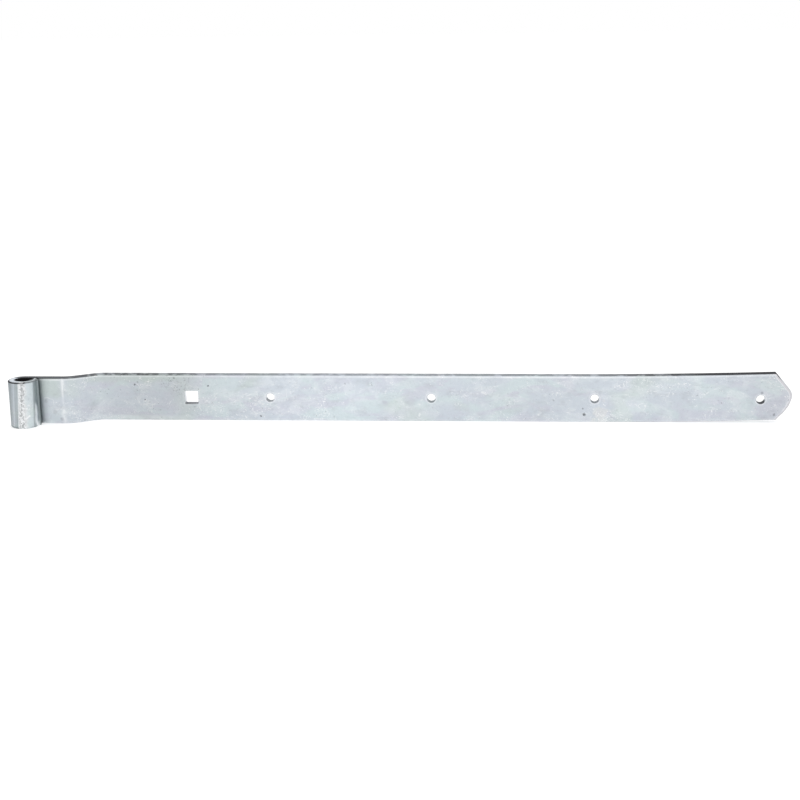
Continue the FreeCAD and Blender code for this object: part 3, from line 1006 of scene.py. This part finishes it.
def zinc_clouds(nodes, place):
    """Wide soft patches of blue, cyan, green and lilac, with paler clouds and greyer ones over them."""
    long_way = nodes.scaled(place, (0.55, 1.0, 1.15))
    cyan = nodes.ramp(nodes.noise(long_way, 30, 3, 0.5, 0.8), 0.44, 0.60)
    green = nodes.ramp(nodes.noise(long_way, 24, 2, 0.5, 0.6), 0.56, 0.70)
    lilac = nodes.ramp(nodes.noise(nodes.scaled(place, (0.6, 1.0, 1.5)), 34, 3, 0.6, 0.8), 0.46, 0.62)
    colour = nodes.mix(nodes.times(cyan, 0.9), BLUE_ZINC, CYAN_ZINC)
    colour = nodes.mix(nodes.times(lilac, 0.85), colour, LILAC_ZINC)
    colour = nodes.mix(nodes.times(green, 0.7), colour, GREEN_ZINC)
    cloud = nodes.ramp(nodes.noise(nodes.scaled(place, (0.7, 1.0, 1.1)), 68, 5, 0.62, 0.7), 0.44, 0.66)
    colour = nodes.mix(nodes.times(cloud, 0.42), colour, PALE_ZINC)
    murk = nodes.ramp(nodes.noise(nodes.scaled(place, (0.6, 1.0, 1.2)), 85, 4, 0.6, 0.4), 0.50, 0.74)
    colour = nodes.mix(nodes.times(murk, 0.30), colour, GREY_ZINC)
    return colour, cloud


# The larger dark pits and smudges in the zinc: (x, z) on the front, how wide, and how dark.
PITS = [
    (30.7 * MM, -12.3 * MM, 3.2 * MM, 0.2),
    (37.6 * MM, -20.0 * MM, 2.6 * MM, 0.35),
    (21.5 * MM, -0.5 * MM, 3.0 * MM, 0.2),
    (113.6 * MM, 13.8 * MM, 1.6 * MM, 0.9),
    (116.6 * MM, 16.4 * MM, 1.3 * MM, 0.5),
    (192.1 * MM, 12.5 * MM, 1.5 * MM, 1.0),
    (247.3 * MM, -20.2 * MM, 1.6 * MM, 1.0),
    (586.0 * MM, -10.4 * MM, 1.4 * MM, 0.6),
    (587.2 * MM, -16.9 * MM, 2.2 * MM, 1.0),
    (782.3 * MM, -16.1 * MM, 1.9 * MM, 0.6),
    (769.1 * MM, 6.9 * MM, 2.0 * MM, 0.45),
]
# A patch of small dark speckles, and a faint warm stain: (x, z), and how wide.
SPECKLED_PATCH = (160 * MM, 17 * MM, 22 * MM)
WARM_STAIN = (603 * MM, -14 * MM, 12 * MM)
# The pale curl on the flat is a part of the rim of a round patch.
CURL = (22.5 * MM, -4.5 * MM, 8.5 * MM)
CURL_PART = (27.0 * MM, 2.0 * MM, 9 * MM)


def patch(nodes, place, spot, softness):
    """1 inside a round patch on the front, and 0 outside."""
    x, z, width = spot
    front = FLAT_FRONT if x < CRANK_START else STRAP_BACK - THICKNESS
    distance = nodes.add("ShaderNodeVectorMath", operation="DISTANCE")
    nodes.fill(distance, {0: place, 1: (x, front, z)})
    return nodes.ramp(distance.outputs["Value"], width, width * (1 - softness))


def wandering(nodes, place, size, reach):
    """The place, moved about by noise, so that a patch drawn with it gets a ragged edge."""
    shift = nodes.add("ShaderNodeTexNoise")
    nodes.link(place, shift, "Vector")
    nodes.value(shift, "Scale", 1 / size)
    centred = nodes.add("ShaderNodeVectorMath", operation="SUBTRACT")
    nodes.fill(centred, {0: shift.outputs["Color"], 1: (0.5, 0.5, 0.5)})
    moved = nodes.add("ShaderNodeVectorMath", operation="MULTIPLY_ADD")
    nodes.fill(moved, {0: centred.outputs["Vector"], 1: (reach, reach, reach), 2: place})
    return moved.outputs["Vector"]


def white_specks(nodes, place, field):
    """Small white specks, denser in wide soft fields."""
    speck = nodes.ramp(nodes.noise(nodes.scaled(place, (0.8, 1.0, 1.1)), 520, 3, 0.65, 1.6), 0.58, 0.68)
    return nodes.times(speck, nodes.plus(0.14, nodes.times(field, 0.66)))


def white_strokes(nodes, place):
    """Clusters of short white strokes."""
    cluster = nodes.ramp(nodes.noise(nodes.scaled(place, (0.8, 1.0, 1.0)), 33, 2, 0.5, 0.4), 0.55, 0.63)
    stroke = nodes.ramp(nodes.noise(nodes.scaled(place, (0.9, 1.0, 1.1)), 290, 2, 0.5, 2.4), 0.58, 0.65)
    return nodes.times(nodes.times(stroke, cluster), 0.75)


def pale_curl(nodes, place):
    """One pale curl on the flat beside the eye."""
    curl = patch(nodes, wandering(nodes, place, 6 * MM, 8 * MM), CURL, 0.18)
    curl = nodes.times(curl, nodes.math("SUBTRACT", 1.0, curl))
    curl = nodes.times(curl, patch(nodes, place, CURL_PART, 0.5))
    return nodes.times(curl, 2.0)


def fine_scratches(nodes, place, cloud):
    """Thin curling scratches, which show most in the pale clouds."""
    lines = nodes.noise(nodes.scaled(place, (0.7, 1.0, 1.2), (0.0, 0.7, 0.0)), 75, 2, 0.5, 1.6)
    lines = nodes.math("ABSOLUTE", nodes.math("SUBTRACT", lines, 0.5), 0.0)
    scratches = nodes.times(nodes.ramp(lines, 0.012, 0.003), nodes.ramp(cloud, 0.35, 0.8))
    return nodes.times(scratches, 0.55)


def dark_pits(nodes, place, field):
    """Pinholes, a patch of dark speckles, and the larger pits."""
    weight = nodes.ramp(nodes.attribute("weathered"), 0.45, 0.95)
    many = nodes.plus(nodes.times(field, 0.35), nodes.times(weight, 0.5))
    pits = nodes.ramp(nodes.noise(place, 360, 2, 0.5, 0.4), 0.69, 0.76)
    pits = nodes.times(pits, nodes.plus(0.15, many))
    speckles = nodes.ramp(nodes.noise(place, 460, 3, 0.6, 1.2), 0.56, 0.63)
    speckled = patch(nodes, wandering(nodes, place, 12 * MM, 20 * MM), SPECKLED_PATCH, 0.6)
    speckles = nodes.times(nodes.times(speckles, speckled), 0.6)
    pits = nodes.math("MAXIMUM", pits, speckles)
    ragged_place = wandering(nodes, place, 1.6 * MM, 2.4 * MM)
    for *spot, darkness in PITS:
        pit = nodes.times(patch(nodes, ragged_place, spot, 0.6), darkness)
        pits = nodes.math("MAXIMUM", pits, pit)
    return pits


def zinc_marks(nodes, place, colour, cloud):
    """The small marks over the clouds, and the height that they give the surface."""
    stain = patch(nodes, wandering(nodes, place, 9 * MM, 26 * MM), WARM_STAIN, 0.4)
    colour = nodes.mix(nodes.times(stain, 0.55), colour, STAIN)
    mottle = nodes.ramp(nodes.noise(place, 340, 3, 0.65, 0.3), 0.52, 0.72)
    colour = nodes.mix(nodes.times(mottle, 0.22), colour, GREY_ZINC)

    field = nodes.ramp(nodes.noise(nodes.scaled(place, (0.8, 1.0, 1.0)), 40, 3, 0.6, 0.5), 0.47, 0.60)
    specks = white_specks(nodes, place, field)
    strokes = white_strokes(nodes, place)
    curl = pale_curl(nodes, place)
    scratches = fine_scratches(nodes, place, cloud)
    for marks in (specks, strokes, curl, scratches):
        colour = nodes.mix(marks, colour, WHITE_ZINC_AND_HIGHLIGHT)

    pits = dark_pits(nodes, place, field)
    colour = nodes.mix(nodes.times(pits, 0.8), colour, PIT)
    height = nodes.plus(nodes.times(cloud, 0.5), nodes.times(mottle, 0.3))
    height = nodes.math("SUBTRACT", height, nodes.times(pits, 0.8))
    height = nodes.plus(height, nodes.times(specks, 0.5))
    return colour, height


def painted_zinc(nodes, place, colour):
    """The weathered and warm places, the painted shade, and the pale zinc and painted highlights, all
    painted on the mesh.
    """
    colour = nodes.mix(nodes.attribute("weathered"), colour, WEATHERED, blend="MULTIPLY")
    colour = nodes.mix(nodes.times(nodes.attribute("warm_zinc"), 0.8), colour, WARM_ZINC)

    streaks = nodes.noise(nodes.scaled(place, (1.0, 1.0, 0.06)), 520, 2, 0.5)
    shaded = nodes.times(nodes.attribute("shade"), nodes.plus(0.75, nodes.times(streaks, 0.5)))
    colour = nodes.mix(nodes.math("MINIMUM", shaded, 1.0), colour, SHADE_ZINC)

    grit = nodes.noise(nodes.scaled(place, (1.2, 1.2, 0.9)), 560, 3, 0.6, 0.5)
    pale = nodes.times(nodes.attribute("pale_zinc_and_highlights"), nodes.plus(0.55, nodes.times(grit, 0.7)))
    return nodes.mix(nodes.math("MINIMUM", pale, 1.0), colour, WHITE_ZINC_AND_HIGHLIGHT)


def zinc_material():
    """Hot-dip zinc, with the painted masks for the painted shade on the edges, the painted shadow in the
    bore and the rough places.
    """
    nodes = Nodes("galvanised_steel")
    place = nodes.add("ShaderNodeTexCoord").outputs["Object"]
    colour, cloud = zinc_clouds(nodes, place)
    colour = nodes.mix(nodes.times(nodes.attribute("greenish"), 0.8), colour, GREEN_ZINC)
    colour, height = zinc_marks(nodes, place, colour, cloud)
    colour = painted_zinc(nodes, place, colour)

    strip = nodes.attribute("rough_strip")
    colour = nodes.mix(nodes.times(strip, 0.85), colour, WHITE_ZINC_AND_HIGHLIGHT)
    holes = nodes.ramp(nodes.noise(nodes.scaled(place, (1.0, 1.0, 0.85)), 480, 2, 0.6, 0.6), 0.45, 0.56)
    holes = nodes.times(nodes.attribute("pitted"), holes)
    colour = nodes.mix(nodes.times(holes, 0.62), colour, STRIP_PIT)

    # Painted shade on faces that turn up, and painted shadow in the bore.
    edge_shading = nodes.attribute("painted_edge_shade")
    colour = nodes.mix(edge_shading, colour, EDGE_SHADE)
    bore = nodes.attribute("painted_bore_shadow")
    colour = nodes.mix(bore, colour, BORE_SHADOW)

    shader = nodes.add("ShaderNodeBsdfPrincipled")
    nodes.link(colour, shader, "Base Color")
    soft = nodes.math("MAXIMUM", nodes.math("MAXIMUM", edge_shading, bore), nodes.times(strip, 0.6))
    nodes.link(nodes.math("SUBTRACT", 0.88, nodes.times(soft, 0.7)), shader, "Metallic")
    rough = nodes.plus(0.40, nodes.times(cloud, 0.14))
    nodes.link(nodes.plus(rough, nodes.times(soft, 0.35)), shader, "Roughness")
    nodes.value(shader, "Specular IOR Level", 0.25)

    bump = nodes.add("ShaderNodeBump")
    nodes.link(nodes.math("SUBTRACT", height, holes), bump, "Height")
    nodes.value(bump, "Strength", 0.4)
    nodes.value(bump, "Distance", 0.4 * MM)
    nodes.link(bump.outputs["Normal"], shader, "Normal")
    return nodes.finish(shader.outputs["BSDF"])


FLOOR_PAINT = (0.80, 0.80, 0.80, 1)
FLOOR_LIFT = 0.45
FLOOR_SIZE = 14.0
FLOOR_MIDDLE_Y = 2.0
WHITE = (1, 1, 1, 1)


def floor_material():
    """A white studio floor that keeps the band's shadow."""
    nodes = Nodes("white_floor")
    paint = nodes.add("ShaderNodeBsdfDiffuse")
    nodes.value(paint, "Color", FLOOR_PAINT)
    glow = nodes.add("ShaderNodeEmission")
    nodes.value(glow, "Color", WHITE)
    path = nodes.add("ShaderNodeLightPath")
    seen = nodes.math("MAXIMUM", path.outputs["Is Camera Ray"], path.outputs["Is Glossy Ray"])
    seen = nodes.math("MAXIMUM", seen, path.outputs["Is Transmission Ray"])
    nodes.link(nodes.times(seen, FLOOR_LIFT), glow, "Strength")
    both = nodes.add("ShaderNodeAddShader")
    nodes.fill(both, {0: paint.outputs["BSDF"], 1: glow.outputs["Emission"]})
    return nodes.finish(both.outputs["Shader"])


def make_floor():
    mesh = bmesh.new()
    bmesh.ops.create_grid(mesh, x_segments=1, y_segments=1, size=FLOOR_SIZE / 2)
    floor = new_object("floor", mesh)
    floor.location = (NOSE_X / 2, FLOOR_MIDDLE_Y, cad_low.z)
    floor.data.materials.append(floor_material())


# Light and camera

WORLD_LEVEL = 0.72


def make_world():
    """Even light from all round, seen as white behind the floor and in reflections of the backdrop."""
    world = bpy.data.worlds.new("studio")
    world.use_nodes = True
    tree = world.node_tree
    tree.nodes.clear()
    light = tree.nodes.new("ShaderNodeBackground")
    light.inputs["Strength"].default_value = WORLD_LEVEL
    white = tree.nodes.new("ShaderNodeBackground")
    for node in (light, white):
        node.inputs["Color"].default_value = WHITE
    path = tree.nodes.new("ShaderNodeLightPath")
    either = path.outputs["Is Camera Ray"]
    for name in ("Is Glossy Ray", "Is Transmission Ray"):
        larger = tree.nodes.new("ShaderNodeMath")
        larger.operation = "MAXIMUM"
        tree.links.new(either, larger.inputs[0])
        tree.links.new(path.outputs[name], larger.inputs[1])
        either = larger.outputs["Value"]
    mix = tree.nodes.new("ShaderNodeMixShader")
    tree.links.new(either, mix.inputs["Fac"])
    tree.links.new(light.outputs["Background"], mix.inputs[1])
    tree.links.new(white.outputs["Background"], mix.inputs[2])
    output = tree.nodes.new("ShaderNodeOutputWorld")
    tree.links.new(mix.outputs["Shader"], output.inputs["Surface"])
    bpy.context.scene.world = world


def soft_box(name, place, aim, width, height, watts):
    light = bpy.data.lights.new(name, "AREA")
    light.shape = "RECTANGLE"
    light.size = width
    light.size_y = height
    light.energy = watts
    lamp = bpy.data.objects.new(name, light)
    lamp.location = place
    lamp.rotation_mode = "QUATERNION"
    lamp.rotation_quaternion = (Vector(aim) - Vector(place)).to_track_quat("-Z", "Y")
    bpy.context.scene.collection.objects.link(lamp)


def make_lights():
    middle = (NOSE_X / 2, STRAP_MIDDLE, 0)
    soft_box("front_box", (0.9, -2.2, 1.5), middle, width=2.2, height=1.6, watts=14)
    soft_box("top_box", (0.2, 0.3, 2.4), middle, width=2.0, height=2.0, watts=8)


# The camera, fitted to the photograph: the hole centres, the strap's edges, the eye and the nose.
CAMERA_ELEVATION = math.radians(15.19)
CAMERA_YAW = math.radians(-4.46)
CAMERA_ROLL = math.radians(-0.94)
CAMERA_DISTANCE = 1.70
CAMERA_FOCAL_PIXELS = 1624.5
CAMERA_TARGET = Vector((0.39537, 0.020, -0.00118))
SENSOR_WIDTH = 36.0


def make_camera():
    forward = Vector((
        math.sin(CAMERA_YAW) * math.cos(CAMERA_ELEVATION),
        math.cos(CAMERA_YAW) * math.cos(CAMERA_ELEVATION),
        -math.sin(CAMERA_ELEVATION),
    ))
    level = Vector((math.cos(CAMERA_YAW), -math.sin(CAMERA_YAW), 0))
    up = level.cross(forward)
    right = math.cos(CAMERA_ROLL) * level + math.sin(CAMERA_ROLL) * up
    top = math.cos(CAMERA_ROLL) * up - math.sin(CAMERA_ROLL) * level
    data = bpy.data.cameras.new("camera")
    data.sensor_width = SENSOR_WIDTH
    data.lens = SENSOR_WIDTH * CAMERA_FOCAL_PIXELS / PHOTO_SIDE
    data.clip_start = 0.01
    data.clip_end = 50
    camera = bpy.data.objects.new("camera", data)
    turn = Matrix((right, top, -forward)).transposed()
    camera.matrix_world = Matrix.Translation(CAMERA_TARGET - CAMERA_DISTANCE * forward) @ turn.to_4x4()
    bpy.context.scene.collection.objects.link(camera)
    bpy.context.scene.camera = camera


def main():
    band = make_band()
    lay_zinc(band)
    band.data.materials.clear()
    band.data.materials.append(zinc_material())
    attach(band, "root")
    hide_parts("band")
    make_floor()
    make_world()
    make_lights()
    make_camera()
    bpy.context.scene.view_settings.view_transform = "Standard"


main()
